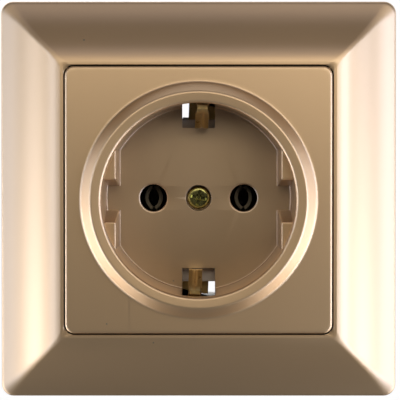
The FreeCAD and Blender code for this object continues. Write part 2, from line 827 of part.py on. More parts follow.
def terminal_pieces():
    pieces = {}
    flange_face = -(terminal_flange_drop + sheet)
    for name, x in zip(("left", "right"), pin_places):
        pieces[name + "_contact"] = live_contact(x)
        pieces[name + "_terminal_screw"] = terminal_screw(x, flange_face, 1)
        pieces[name + "_wire_clamp"] = wire_clamp(x, -terminal_flange_drop + wire_gap)
    outer = earth_leg_place + sheet / 2
    pieces["earth_terminal_screw"] = turned(terminal_screw(0, outer, -1), earth_turn)
    pieces["earth_wire_clamp"] = turned(wire_clamp(0, earth_clamp_low), earth_turn)
    return pieces


def all_pieces():
    pieces = {
        "outer_frame": outer_frame(),
        "front_cover": front_cover(),
        "cover_screw": cover_screw(),
        "contact_cover": contact_cover(),
        "contact_cover_screws": contact_cover_screws(),
        "mounting_ring": mounting_ring(),
        "ring_rivets": ring_rivets(),
        "socket_base": socket_base(),
        "earth_strap": earth_strap(),
        "earth_terminal": earth_terminal(),
        "right_claw_screw": claw_screw(),
        "left_claw_screw": other_side(claw_screw()),
        "right_claw": claw(),
        "left_claw": other_side(claw()),
    }
    pieces.update(terminal_pieces())
    return pieces


os.makedirs("parts", exist_ok=True)
for name, shape in all_pieces().items():
    shape.exportStep("parts/" + name + ".step")
    box = shape.BoundBox
    print(f"{name}: {len(shape.Solids)} solid, valid {shape.isValid()}, {shape.Volume:.1f} mm3,"
          f" x {box.XMin:.2f}..{box.XMax:.2f} y {box.YMin:.2f}..{box.YMax:.2f}"
          f" z {box.ZMin:.2f}..{box.ZMax:.2f}")
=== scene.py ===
# %% [markdown]
# # A flush wall socket, type F
#
# The real socket is a square cover plate with a round plug recess, set in a bevelled frame. Behind
# them an insert sits in the wall box: a steel ring, a moulded base, brass contacts, earth springs
# and two claws on long screws. The exact solids are loaded first, as a fixed frame that nothing
# here may move. Each visible piece is then either dressed with a better finish, or remodelled with
# smoother edges and put in the place of its solid.

# %% Load the fixed frame and keep its size
import json
import math
import bmesh
import bpy
from mathutils import Matrix, Vector


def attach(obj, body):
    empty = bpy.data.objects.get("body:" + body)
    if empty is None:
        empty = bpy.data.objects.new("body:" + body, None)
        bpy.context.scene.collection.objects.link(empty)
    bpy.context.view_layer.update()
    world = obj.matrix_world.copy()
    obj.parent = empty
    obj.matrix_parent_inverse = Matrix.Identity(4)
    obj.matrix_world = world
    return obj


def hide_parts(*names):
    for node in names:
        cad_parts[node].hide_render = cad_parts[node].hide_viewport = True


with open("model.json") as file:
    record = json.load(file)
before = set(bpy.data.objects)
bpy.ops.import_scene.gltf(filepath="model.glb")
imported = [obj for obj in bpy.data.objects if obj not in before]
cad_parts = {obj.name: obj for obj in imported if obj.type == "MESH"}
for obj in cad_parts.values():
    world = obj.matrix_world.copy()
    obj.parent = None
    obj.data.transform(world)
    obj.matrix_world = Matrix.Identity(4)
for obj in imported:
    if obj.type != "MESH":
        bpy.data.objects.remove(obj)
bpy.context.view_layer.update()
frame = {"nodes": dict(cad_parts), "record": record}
MM = 0.001

# %% [markdown]
# ## Camera
#
# The photograph looks at the plate from far away and only a touch from above: the recess shows its
# whole floor and hardly any wall. A long lens at a little over half a metre gives that flat view.
# The lens is worked out from how many pixels a millimetre of the plate takes, so that the picture
# and the model share one scale, and a small shift puts the object where it lies in the photograph.

# %% Camera
PLATE_FRONT = -9.8
CAMERA_DISTANCE = 0.55
CAMERA_ABOVE = math.radians(1.6)
IMAGE_PIXELS = 400
PIXELS_PER_MM = 4.87
SENSOR_MM = 36.0
CENTRE_PIXEL = (198.6, 200.0)
NEAREST_SEEN = 0.01


def make_camera():
    data = bpy.data.cameras.new("camera")
    width_mm = IMAGE_PIXELS / PIXELS_PER_MM
    data.sensor_width = SENSOR_MM
    data.lens = SENSOR_MM * CAMERA_DISTANCE / (width_mm * MM)
    data.shift_x = (IMAGE_PIXELS / 2 - CENTRE_PIXEL[0]) / IMAGE_PIXELS
    data.shift_y = (CENTRE_PIXEL[1] - IMAGE_PIXELS / 2) / IMAGE_PIXELS
    data.clip_start = NEAREST_SEEN
    camera = bpy.data.objects.new("camera", data)
    away = CAMERA_DISTANCE * Vector((0, -math.cos(CAMERA_ABOVE), math.sin(CAMERA_ABOVE)))
    camera.location = Vector((0, PLATE_FRONT * MM, 0)) + away
    camera.rotation_euler = (math.pi / 2 - CAMERA_ABOVE, 0, 0)
    bpy.context.scene.collection.objects.link(camera)
    bpy.context.scene.camera = camera
    return camera


camera = make_camera()
print("lens:", round(camera.data.lens, 1), "mm")

# %% [markdown]
# ## Shader maths in Python
#
# A finish is a small program made of nodes. Written as nodes one by one it is long and hard to
# read, so one small class wraps a socket and lets Python's own signs make the Math nodes: the sum
# `1 - mask * 0.3` is two nodes. Everything that isn't a sum goes through one method, `node`, which
# sets a node's settings first and its sockets after them.

# %% A socket that Python can calculate with
class Wire:
    """An output socket in a node tree. Sums on it add Math nodes."""

    def __init__(self, tree, socket=None):
        self.tree = tree
        self.socket = socket

    def plug(self, socket, value):
        if isinstance(value, Wire):
            self.tree.links.new(value.socket, socket)
        else:
            socket.default_value = value

    def node(self, kind, settings=None, out=0, **sockets):
        """Adds a node. Sockets are given by name, or as i0, i1 where several share one name."""
        node = self.tree.nodes.new("ShaderNode" + kind)
        for name, value in (settings or {}).items():
            setattr(node, name, value)
        for name, value in sockets.items():
            numbered = name[0] == "i" and name[1:].isdigit()
            key = int(name[1:]) if numbered else name.replace("_", " ")
            self.plug(node.inputs[key], value)
        return Wire(self.tree, node.outputs[out])

    def maths(self, operation, *values):
        sockets = {f"i{k}": value for k, value in enumerate(values)}
        return self.node("Math", {"operation": operation}, **sockets)

    def __add__(self, other):
        return self.maths("ADD", self, other)

    __radd__ = __add__

    def __sub__(self, other):
        return self.maths("SUBTRACT", self, other)

    def __rsub__(self, other):
        return self.maths("SUBTRACT", other, self)

    def __mul__(self, other):
        return self.maths("MULTIPLY", self, other)

    __rmul__ = __mul__

    def between(self, low, high):
        """0 at low, 1 at high, and smooth between them."""
        smooth = {"interpolation_type": "SMOOTHSTEP"}
        return self.node("MapRange", smooth, Value=self, From_Min=low, From_Max=high)

    def mix(self, first, second):
        """The first colour where this is 0 and the second where it is 1."""
        return self.node("Mix", {"data_type": "RGBA"}, 2, i0=self, i6=first, i7=second)


# %% Starting a material
OBJECT_OUTPUT = 3
GENERATED_OUTPUT = 0


def new_material(name):
    material = bpy.data.materials.new(name)
    material.use_nodes = True
    shader = material.node_tree.nodes["Principled BSDF"]
    return material, shader, Wire(material.node_tree)


def object_point(wire):
    return wire.node("TexCoord", out=OBJECT_OUTPUT)


def part_of(point, axis):
    """One coordinate of a point: 0 is x, 1 is y and 2 is z."""
    return point.node("SeparateXYZ", out=axis, Vector=point)


def noise(wire, point, scale, detail):
    return wire.node("TexNoise", Vector=point, Scale=scale, Detail=detail, Roughness=0.5)


def bumped(wire, height, distance):
    return wire.node("Bump", Height=height, Distance=distance, Strength=1.0)


def count_nodes(*materials):
    for material in materials:
        print(f"{material.name}: {len(material.node_tree.nodes)} nodes")


# %% [markdown]
# ## Champagne lacquer
#
# The plate and frame are moulded plastic, sprayed with a lacquer full of fine metal flakes. The
# flakes make it behave like satin metal: it takes the colour of the lights and goes dark where
# nothing bright faces it, which a plain plastic shader can't do. Most of the finish is therefore
# metallic, with a middle roughness, under a thin clear coat. The coat has a higher index than real
# lacquer, which stands in for the flakes' pale sheen. The spray leaves a very fine grain and a few
# dust specks, and handling leaves faint scratches.
#
# Two things are painted shade, matches of brightness and not facts about lacquer: the colour gets
# darker with depth towards the recess floor, and it is nearly black in the narrow gap between plate
# and frame.

# %% Lacquer
LACQUER = (0.65, 0.385, 0.150, 1)
LACQUER_WARM = (0.67, 0.395, 0.152, 1)
# Painted shade: the lacquer's colour falls to this share with depth, from behind the plate's front
# towards the recess floor.
DEPTH_SHADE_SHARE = 0.69
DEPTH_SHADE_FROM = -9.0
DEPTH_SHADE_TO = 3.0
LACQUER_ROUGHNESS = 0.45
LACQUER_METALLIC = 0.97
COAT_ROUGHNESS = 0.36
COAT_IOR = 2.4
CLOUD_SCALE = 35.0
GRAIN_SCALE = 5200.0
PEEL_SCALE = 700.0
# Painted shade for the gap between plate and frame: a near black colour, and the box where it lies.
GAP_SHADE_COLOUR = (0.016, 0.012, 0.009, 1)
GAP_INNER = 27.2
GAP_OUTER = 27.84
GAP_FRONT = -9.6
GAP_BACK = -9.2
GAP_FADE = 0.05
SPECK_DARK = (0.09, 0.06, 0.03, 1)
SCRATCH_SCALE = 900.0
SCRATCH_TURN = 0.5
SCRATCH_STRETCH = (1.0, 1.0, 0.03)
SCRATCH_CUT = 0.70
SPECKS = [(-5.3, -17.5, 0.28), (-23.6, 32.9, 0.3), (-18.9, -25.5, 0.26), (-9.3, -29.4, 0.24)]


def speck_mask(wire, point):
    """Small dark dust specks under the lacquer, at named places on the front."""
    total = None
    for x, z, radius in SPECKS:
        flat = wire.node("VectorMath", {"operation": "MULTIPLY"}, i0=point, i1=(1, 0, 1))
        gap = wire.node("VectorMath", {"operation": "DISTANCE"}, 1, i0=flat, i1=(x * MM, 0, z * MM))
        dot = 1 - gap.between(0.2 * radius * MM, radius * MM)
        total = dot if total is None else total + dot
    return total


def scratch_mask(wire, point):
    """Thin streaks: noise drawn out along one direction and cut off near its top."""
    turned = (0, SCRATCH_TURN, 0)
    placed = wire.node("Mapping", Vector=point, Rotation=turned, Scale=SCRATCH_STRETCH)
    return noise(wire, placed, SCRATCH_SCALE, 2.0).between(SCRATCH_CUT, SCRATCH_CUT + 0.03)


def gap_shade_mask(wire, point):
    """1 in the narrow gap between plate and frame, where shade is painted nearly black."""
    x, y, z = (part_of(point, axis) for axis in range(3))
    across = wire.maths("MAXIMUM", wire.maths("ABSOLUTE", x), wire.maths("ABSOLUTE", z))
    inside = across.between(GAP_INNER * MM, (GAP_INNER + GAP_FADE) * MM)
    outside = across.between(GAP_OUTER * MM, (GAP_OUTER + GAP_FADE) * MM)
    return inside * (1 - outside) * y.between(GAP_FRONT * MM, GAP_BACK * MM)


def make_lacquer():
    material, shader, wire = new_material("champagne_lacquer")
    point = object_point(wire)
    cloud = noise(wire, point, CLOUD_SCALE, 2.0).between(0.35, 0.65)
    grain = noise(wire, point, GRAIN_SCALE, 2.0)
    orange_peel = noise(wire, point, PEEL_SCALE, 2.0)
    specks = speck_mask(wire, point)
    scratches = scratch_mask(wire, point)
    # Painted shade: the colour gets darker with depth into the recess.
    depth_shade = 1 - part_of(point, 1).between(DEPTH_SHADE_FROM * MM, DEPTH_SHADE_TO * MM) * (1 - DEPTH_SHADE_SHARE)
    colour = cloud.mix(LACQUER, LACQUER_WARM)
    colour = wire.node("VectorMath", {"operation": "SCALE"}, i0=colour, Scale=depth_shade)
    colour = (specks * 0.8).mix(colour, SPECK_DARK)
    # Painted shade: the gap between plate and frame is made nearly black and loses most of its coat.
    gap = gap_shade_mask(wire, point)
    wire.plug(shader.inputs["Base Color"], gap.mix(colour, GAP_SHADE_COLOUR))
    wire.plug(shader.inputs["Metallic"], LACQUER_METALLIC - specks * 0.5)
    wire.plug(shader.inputs["Coat Weight"], 1 - gap * 0.95)
    wire.plug(shader.inputs["Roughness"], LACQUER_ROUGHNESS + (grain - 0.5) * 0.08 - scratches * 0.06)
    height = orange_peel * 0.5 + grain * 0.12 - scratches * 0.4
    wire.plug(shader.inputs["Normal"], bumped(wire, height, 0.004 * MM))
    shader.inputs["Coat IOR"].default_value = COAT_IOR
    shader.inputs["Coat Roughness"].default_value = COAT_ROUGHNESS
    return material


lacquer = make_lacquer()
count_nodes(lacquer)

# %% [markdown]
# ## Insulators
#
# The base is a thermoset and the contact cover a thermoplastic. Both are plain moulded plastic: no
# metal, a matt sheen, and a little unevenness that keeps flat walls from looking like paper.

# %% Moulded plastics
PLASTIC_SHEEN = 0.42


def make_plastic(name, colour, shade, roughness):
    material, shader, wire = new_material(name)
    point = object_point(wire)
    cloud = noise(wire, point, 120.0, 4.0).between(0.3, 0.7)
    grain = noise(wire, point, 2600.0, 2.0)
    wire.plug(shader.inputs["Base Color"], cloud.mix(colour, shade))
    wire.plug(shader.inputs["Roughness"], roughness + (grain - 0.5) * 0.14)
    wire.plug(shader.inputs["Normal"], bumped(wire, grain + cloud * 0.6, 0.012 * MM))
    shader.inputs["Specular IOR Level"].default_value = PLASTIC_SHEEN
    return material


white_plastic = make_plastic("white_thermoset", (0.74, 0.725, 0.68, 1),
                             (0.69, 0.67, 0.62, 1), 0.46)
grey_plastic = make_plastic("grey_thermoplastic", (0.55, 0.48, 0.43, 1),
                            (0.50, 0.435, 0.39, 1), 0.42)
count_nodes(white_plastic, grey_plastic)

# %% [markdown]
# ## Metals
#
# Brass strip comes off a rolling mill, so its grain runs along the strip, and it tarnishes in soft
# brown clouds. Zinc plating looks like frosted steel with faint crystals. Yellow passivated screws
# are the same steel with a thin film that turns from straw to olive, which a slow noise between two
# colours gives. The contacts are given a darker metal than brass as painted shade, so that the pin
# holes look as dark as the shade in them. That is a match of brightness, not a known fact about the
# contacts.

# %% Brass, contact metal darkened as painted shade, zinc and yellow zinc
ALONG_Z = (1, 1, 0.08)
ALONG_Y = (1, 0.1, 1)


def make_metal(name, colour, tarnish, roughness, streak, cloud_scale):
    material, shader, wire = new_material(name)
    point = object_point(wire)
    cloud = noise(wire, point, cloud_scale, 4.0).between(0.38, 0.68)
    drawn = wire.node("Mapping", Vector=point, Scale=streak)
    rolled = noise(wire, drawn, 1500.0, 3.0)
    wire.plug(shader.inputs["Base Color"], cloud.mix(colour, tarnish))
    wire.plug(shader.inputs["Metallic"], 1 - cloud * 0.12)
    wire.plug(shader.inputs["Roughness"], roughness + cloud * 0.14 + (rolled - 0.5) * 0.12)
    wire.plug(shader.inputs["Normal"], bumped(wire, rolled, 0.006 * MM))
    return material


brass = make_metal("brass_strip", (0.58, 0.44, 0.19, 1), (0.46, 0.29, 0.11, 1), 0.28,
                   ALONG_Z, 180.0)
# Painted shade: a dark metal for the contacts, so that the deep pin holes look dark.
contact_shade_metal = make_metal("contacts_painted_shade", (0.16, 0.135, 0.10, 1),
                           (0.09, 0.075, 0.055, 1), 0.42, ALONG_Z, 180.0)
zinc = make_metal("zinc_plated_steel", (0.60, 0.61, 0.62, 1), (0.46, 0.47, 0.49, 1), 0.30,
                  ALONG_Y, 420.0)
yellow_zinc = make_metal("yellow_passivated_steel", (0.50, 0.46, 0.17, 1),
                         (0.24, 0.21, 0.07, 1), 0.17, ALONG_Y, 260.0)
count_nodes(brass, contact_shade_metal, zinc, yellow_zinc)

# %% [markdown]
# ## Helpers for turning and sweeping rings
#
# Moulded and turned pieces are rings that grow along a section. A bmesh starts from a circle of
# loose edges, and each step of the section is one extrude of that ring, laid on its new size. The
# same extrude then serves a round section and a rounded square: only the rule that lays the ring
# down is different. Corners of a section are given with a radius and become short arcs, because a
# sharp edge never catches the light as a real one does.

# %% A section with rounded corners
ARC_STEPS = 5


def rounded(corners, steps=ARC_STEPS):
    """Points (u, v) of a section from corners (u, v) or (u, v, radius)."""
    points = []
    for k, corner in enumerate(corners):
        here = Vector(corner[:2])
        if len(corner) < 3:
            points.append(tuple(corner))
            continue
        before = (Vector(corners[k - 1][:2]) - here).normalized()
        after = (Vector(corners[(k + 1) % len(corners)][:2]) - here).normalized()
        half = before.angle(after) / 2
        trim = corner[2] / math.tan(half)
        centre = here + (before + after).normalized() * corner[2] / math.sin(half)
        start, end = here + before * trim - centre, here + after * trim - centre
        for step in range(steps + 1):
            points.append(tuple(centre + start.slerp(end, step / steps).normalized() * corner[2]))
    return points


# %% Rings
def edges_of(bm, ring):
    return [bm.edges.get((a, b)) for a, b in zip(ring, ring[1:] + ring[:1])]


def start_ring(bm, count):
    made = bmesh.ops.create_circle(bm, cap_ends=False, segments=count, radius=1.0)
    first = made["verts"][0]
    ring, last = [first], None
    while True:
        ways = [e.other_vert(ring[-1]) for e in ring[-1].link_edges]
        onward = [v for v in ways if v is not last]
        last = ring[-1]
        if onward[0] is first or len(ring) == count:
            return ring
        ring.append(onward[0])


def next_ring(bm, ring):
    """Extrudes a closed ring of vertices, and returns the new ring in the same order."""
    made = bmesh.ops.extrude_edge_only(bm, edges=edges_of(bm, ring))["geom"]
    fresh = {v for v in made if isinstance(v, bmesh.types.BMVert)}
    return [next(e.other_vert(v) for e in v.link_edges if e.other_vert(v) in fresh) for v in ring]


def sweep(bm, ring, lay, stations):
    """Grows the ring through the stations of a section and returns all rings that it made."""
    rings = []
    for station in stations:
        ring = next_ring(bm, ring)
        lay(ring, *station)
        rings.append(ring)
    return rings


# %% Laying a ring on a rounded square or on a circle
SQUARE_ARC = 8
SUPPORT = 0.35


def lay_square(ring, half, y, radius):
    """Each corner has an arc, and a support point beyond each of its ends keeps the side flat."""
    per_corner = len(ring) // 4
    steps = per_corner - 3
    for k, vertex in enumerate(ring):
        corner, place = divmod(k, per_corner)
        angle = math.pi / 2 * (corner + min(max(place - 1, 0), steps) / steps)
        slide = {0: -SUPPORT, per_corner - 1: SUPPORT}.get(place, 0.0)
        sign_x = 1 if corner in (0, 3) else -1
        sign_z = 1 if corner in (0, 1) else -1
        x = sign_x * (half - radius) + radius * math.cos(angle) - slide * math.sin(angle)
        z = sign_z * (half - radius) + radius * math.sin(angle) + slide * math.cos(angle)
        vertex.co = Vector((x, y, z)) * MM


def lay_circle(ring, radius, y):
    for k, vertex in enumerate(ring):
        angle = 2 * math.pi * k / len(ring)
        vertex.co = Vector((radius * math.cos(angle), y, radius * math.sin(angle))) * MM


# %% Finishing a mesh as a piece of the object
SHARP_ANGLE = math.radians(32)
SAME_PLACE = 0.0005 * MM
LOOSE_PLACE = 0.002 * MM


def plain_object(name, bm):
    mesh = bpy.data.meshes.new(name)
    bm.to_mesh(mesh)
    bm.free()
    made = bpy.data.objects.new(name, mesh)
    bpy.context.scene.collection.objects.link(made)
    return made


def keep_flat(piece):
    """Flat faces stay flat beside the small rounded ones."""
    even = piece.modifiers.new("flat faces stay flat", "WEIGHTED_NORMAL")
    even.keep_sharp = True


def round_edges(piece, width, angle):
    """Rounds every edge that turns by more than that angle."""
    rounding = piece.modifiers.new("rounded edges", "BEVEL")
    rounding.width = width * MM
    rounding.segments = 2
    rounding.limit_method = "ANGLE"
    rounding.angle_limit = angle
    keep_flat(piece)


def finish_piece(name, bm, material, body, nodes):
    """Turns a bmesh into a named piece with smooth faces and sharp edges, riding on its body."""
    bmesh.ops.remove_doubles(bm, verts=bm.verts, dist=SAME_PLACE)
    bmesh.ops.recalc_face_normals(bm, faces=bm.faces)
    for face in bm.faces:
        face.smooth = True
    for edge in bm.edges:
        if len(edge.link_faces) == 2 and edge.calc_face_angle(0.0) > SHARP_ANGLE:
            edge.smooth = False
    piece = plain_object(name, bm)
    piece.data.materials.append(material)
    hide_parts(*nodes)
    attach(piece, body)
    triangles = sum(len(p.vertices) - 2 for p in piece.data.polygons)
    print(f"{name}: {triangles} triangles")
    return piece


# %% [markdown]
# ## The bevelled frame
#
# The frame is one moulded shell. Its front falls from a narrow land beside the plate to a low rim,
# in a slope that is first slow, then steep, then slow again, and it is this curve that gives the
# broad soft highlights. A plain chamfer would show four flat tones. The section is closed, with the
# flange that the plate rests on and the hollow behind, and swept round a square whose corner radius
# grows outwards, so the mitre is crisp inside and soft outside.

# %% Frame section
OPENING_HALF = 27.75
OPENING_CORNER = 2.15
FRAME_FRONT = -9.5
RIM_FRONT = -3.0
FRAME_HALF = 41.0
FRAME_CORNER = 2.5
LAND_WIDTH = 0.7
LAND_CORNER = 0.9
FLANGE_CORNER = 2.0
EDGE_BREAK = 0.12
FRAME_WALL = 1.8
BEVEL_SWING = 0.36
BEVEL_SKEW = 0.85
BEVEL_STEPS = 18
RIM_ROUND = 0.7
BACK_ROUND = 0.25
FLANGE_HALF = 25.85
FLANGE_BACK = -6.5
PLATE_BACK = -8.0


def bevel_y(share):
    swing = BEVEL_SWING * math.sin(2 * math.pi * share ** BEVEL_SKEW) / (2 * math.pi)
    return FRAME_FRONT + (RIM_FRONT - FRAME_FRONT) * (share - swing)


def bevel_points():
    """Half width and depth of the slope, from the land to where the rim's rounding starts."""
    inner = OPENING_HALF + LAND_WIDTH
    shares = [k / BEVEL_STEPS for k in range(BEVEL_STEPS + 1)]
    return [(inner + (FRAME_HALF - inner) * s, bevel_y(s)) for s in shares]


def corner_at(half):
    """Corner radius of the frame's outline at that half width."""
    inner = OPENING_HALF + LAND_WIDTH
    share = min(max((half - inner) / (FRAME_HALF - inner), 0.0), 1.0)
    return LAND_CORNER + (FRAME_CORNER - LAND_CORNER) * share ** 3


def frame_stations():
    slope = bevel_points()
    inside = FRAME_HALF - FRAME_WALL
    rim = rounded([slope[-2], (FRAME_HALF, RIM_FRONT, RIM_ROUND), (FRAME_HALF, 0, BACK_ROUND),
                   (inside, 0, BACK_ROUND), (inside, RIM_FRONT + FRAME_WALL)])
    land = [(OPENING_HALF + EDGE_BREAK, FRAME_FRONT),
            (OPENING_HALF + LAND_WIDTH - 0.08, FRAME_FRONT)]
    under = [(u, v + FRAME_WALL) for u, v in reversed(slope[2:-3])]
    flange = [(OPENING_HALF + FRAME_WALL, FLANGE_BACK), (FLANGE_HALF, FLANGE_BACK),
              (FLANGE_HALF, PLATE_BACK), (OPENING_HALF, PLATE_BACK),
              (OPENING_HALF, FRAME_FRONT + EDGE_BREAK)]
    line = [(u, v, corner_at(u)) for u, v in land + slope[:-2] + rim + under]
    return line + [(u, v, OPENING_CORNER if u <= OPENING_HALF else FLANGE_CORNER)
                   for u, v in flange]


# %% Sweep the frame and add its ribs
RIB_PLACE = 16.0
RIB_THICKNESS = 1.0
RIB_INNER = 29.0
RIB_OUTER = 39.6
RIB_MIDDLE = 35.0
RIB_FRONT = -8.2
RIB_LOW_FRONT = -2.6
RIB_BACK = -1.6


def add_box(bm, low, high):
    """A box between two corners in millimetres."""
    low, high = Vector(low), Vector(high)
    centre = (low + high) / 2 * MM
    size = (high - low) * MM
    matrix = Matrix.Translation(centre) @ Matrix.Diagonal((size.x, size.y, size.z, 1))
    return bmesh.ops.create_cube(bm, size=1.0, matrix=matrix)["verts"]


def turn(bm, verts, degrees):
    """Turns vertices about the socket's axis."""
    about_axis = Matrix.Rotation(math.radians(degrees), 3, "Y")
    bmesh.ops.rotate(bm, verts=verts, cent=(0, 0, 0), matrix=about_axis)


def add_frame_rib(bm, x):
    """A rib across the hollow behind the slope, whose front edge drops towards the rim."""
    rib = add_box(bm, (x - RIB_THICKNESS / 2, RIB_FRONT, RIB_INNER),
                  (x + RIB_THICKNESS / 2, RIB_BACK, RIB_OUTER))
    for vertex in rib:
        if vertex.co.y < RIB_BACK * MM - MM and vertex.co.z > RIB_MIDDLE * MM:
            vertex.co.y = RIB_LOW_FRONT * MM
    return rib


def make_frame_shell():
    bm = bmesh.new()
    ring = start_ring(bm, 4 * (SQUARE_ARC + 3))
    stations = frame_stations()
    lay_square(ring, *stations[0])
    rings = sweep(bm, ring, lay_square, stations[1:])
    bmesh.ops.bridge_loops(bm, edges=edges_of(bm, rings[-1]) + edges_of(bm, ring))
    for quarter in range(4):
        for x in (-RIB_PLACE, RIB_PLACE):
            turn(bm, add_frame_rib(bm, x), 90 * quarter)
    shell = finish_piece("frame_shell", bm, lacquer, "socket",
                         ["outer_frame"])
    keep_flat(shell)


make_frame_shell()

# %% [markdown]
# ## The cover plate
#
# Plate, collar and recess are one moulding. The collar and the recess wall are round, so they are
# one ring swept through a section. The plate's flat front is filled between that ring and a rounded
# square, and the recess floor is filled between the wall and its holes. Cutting the holes with
# booleans would also work, but it leaves ragged faces that shade badly, while a fill on one plane
# always shades flat. Each hole is a ring of its own, swept down through its chamfer, and the middle
# one goes on round the screw seat and back up outside the boss.

# %% Cover sizes
PLATE_HALF = 27.5
PLATE_CORNER = 1.9
PLATE_ROUND = 0.5
CREST_Y = -12.2
RIM_Y = -11.95
FLOOR_Y = 5.55
FLOOR_BACK = 7.55
MOUTH_R = 19.95
RIM_INNER_ROUND = 0.7
FOOT_ROUND = 0.8
CREST_ROUND = 0.7
FLOOR_ROUND = 0.3
FLOOR_R = 19.5
CREST_R = 22.3
FOOT_R = 24.3
TUBE_R = 21.4
SLOT_HALF = 3.45
SLOT_END = 14.8
PIN_X = 9.5
PIN_HOLE_R = 2.85
PIN_CHAMFER = 0.40
SCREW_HOLE_R = 2.72
SCREW_CHAMFER = 0.06
SCREW_SEAT = 9.55
BORE_R = 1.7
BOSS_R = 4.2
BOSS_END = 10.55
BOSS_ROUND = 0.2
SLOT_COLUMNS = 12
WALL_COLUMNS = 96
SKIRT_HALF = 25.6
SKIRT_WALL = 1.2
SKIRT_BACK = -5.0
TUBE_ROUND = 0.3
EDGE_BAND = 1.0
LEAST_CORNER = 0.7
SUNK = 0.1


# %% A ring whose columns meet the slots' sides
SLOT_STARTS = (0, SLOT_COLUMNS + WALL_COLUMNS)


def column_angles(radius):
    """Angles round the recess. At any radius, four of them lie at the sides of the slots."""
    gap = math.asin(SLOT_HALF / radius)
    wall = math.pi - 2 * gap
    angles = []
    for middle in (math.pi / 2, 3 * math.pi / 2):
        angles += [middle - gap + 2 * gap * k / SLOT_COLUMNS for k in range(SLOT_COLUMNS)]
        angles += [middle + gap + wall * k / WALL_COLUMNS for k in range(WALL_COLUMNS)]
    return angles


def lay_columns(ring, radius, y):
    for vertex, angle in zip(ring, column_angles(radius)):
        vertex.co = Vector((radius * math.cos(angle), y, radius * math.sin(angle))) * MM


# %% Recess section, from the plate's flat front to the floor
SECTION_STEPS = 7


def recess_stations():
    """The section (radius, y) of the wall, and the number of the station where the slots start."""
    corners = [(FOOT_R + 0.9, PLATE_FRONT), (FOOT_R, PLATE_FRONT, FOOT_ROUND),
               (CREST_R, CREST_Y, CREST_ROUND), (MOUTH_R, RIM_Y, RIM_INNER_ROUND),
               (MOUTH_R, PLATE_BACK), (FLOOR_R, FLOOR_Y, FLOOR_ROUND), (0, FLOOR_Y)]
    points = rounded(corners, SECTION_STEPS)[:-1]
    return points, points.index((MOUTH_R, PLATE_BACK))


def fill(bm, edges, y_way):
    """Fills a flat region between loops of edges."""
    bmesh.ops.triangle_fill(bm, use_beauty=True, use_dissolve=False, edges=edges,
                            normal=Vector((0, y_way, 0)))


# %% Holes in the recess floor
HOLE_SEGMENTS = 64


def hole_layer(x):
    def lay(ring, radius, y):
        lay_circle(ring, radius, y)
        for vertex in ring:
            vertex.co.x += x * MM
    return lay


def floor_hole(bm, x, stations):
    """Sweeps a hole from its mouth in the floor, and returns the edges of its first and last ring."""
    ring = start_ring(bm, HOLE_SEGMENTS)
    lay = hole_layer(x)
    lay(ring, *stations[0])
    last = sweep(bm, ring, lay, stations[1:])[-1]
    return edges_of(bm, ring), edges_of(bm, last)


def chamfered(radius, chamfer):
    """The mouth of a hole: a chamfer in two steps, of which the first is the flatter one."""
    return [(radius + chamfer, FLOOR_Y), (radius + chamfer * 0.15, FLOOR_Y + chamfer * 0.47),
            (radius, FLOOR_Y + chamfer * 0.75)]


def floor_holes(bm):
    pin = chamfered(PIN_HOLE_R, PIN_CHAMFER) + [(PIN_HOLE_R, FLOOR_BACK)]
    screw = chamfered(SCREW_HOLE_R, SCREW_CHAMFER)
    screw += [(SCREW_HOLE_R, SCREW_SEAT), (BORE_R, SCREW_SEAT), (BORE_R, BOSS_END),
              (BOSS_R - BOSS_ROUND, BOSS_END), (BOSS_R, BOSS_END - BOSS_ROUND),
              (BOSS_R, FLOOR_BACK)]
    fronts, backs = [], []
    for x, stations in ((-PIN_X, pin), (PIN_X, pin), (0, screw)):
        front, back = floor_hole(bm, x, stations)
        fronts += front
        backs += back
    return fronts, backs


# %% The slots
def open_wall(bm, rings):
    """Takes away the wall's faces between the sides of both slots."""
    doomed = []
    for upper, lower in zip(rings, rings[1:]):
        for start in SLOT_STARTS:
            for k in range(start, start + SLOT_COLUMNS):
                corners = {upper[k], upper[k + 1], lower[k], lower[k + 1]}
                doomed += [f for f in upper[k].link_faces if set(f.verts) == corners]
    bmesh.ops.delete(bm, geom=doomed, context="FACES")


def chain(bm, verts):
    return [bm.edges.get(pair) or bm.edges.new(pair) for pair in zip(verts, verts[1:])]


def wall_arcs(bm, ring):
    arcs = []
    for start in SLOT_STARTS:
        first = start + SLOT_COLUMNS
        verts = [ring[k % len(ring)] for k in range(first, first + WALL_COLUMNS + 1)]
        arcs += chain(bm, verts)
    return arcs


def line_slot(bm, inner, outer, start):
    """Closes a slot's top and sides between the recess wall and the tube, through the floor."""
    stop = start + SLOT_COLUMNS
    top = chain(bm, inner[0][start:stop + 1]) + chain(bm, outer[0][start:stop + 1])
    bmesh.ops.bridge_loops(bm, edges=top)
    way = math.copysign(1, inner[0][start + 1].co.z)
    places = [(inner[-1][k].co.x / MM, FLOOR_Y, way * SLOT_END) for k in (start, stop)]
    corners = [bm.verts.new(Vector(place) * MM) for place in places]
    end_edge = bm.edges.new(corners)
    deep = bmesh.ops.extrude_edge_only(bm, edges=[end_edge])["geom"]
    deep = [g for g in deep if isinstance(g, bmesh.types.BMVert)]
    for vertex in deep:
        vertex.co.y = FLOOR_BACK * MM
    front, back = [end_edge], [bm.edges.get(deep)]
    for corner, k in zip(corners, (start, stop)):
        low = next(e.other_vert(corner) for e in corner.link_edges if e.other_vert(corner) in deep)
        front += chain(bm, [inner[-1][k], corner])
        back += chain(bm, [outer[-1][k], low])
        side = chain(bm, [ring[k] for ring in inner] + [corner, low])
        side += chain(bm, [ring[k] for ring in outer] + [low])
        side += chain(bm, [inner[0][k], outer[0][k]])
        bmesh.ops.contextual_create(bm, geom=side)
    return front, back


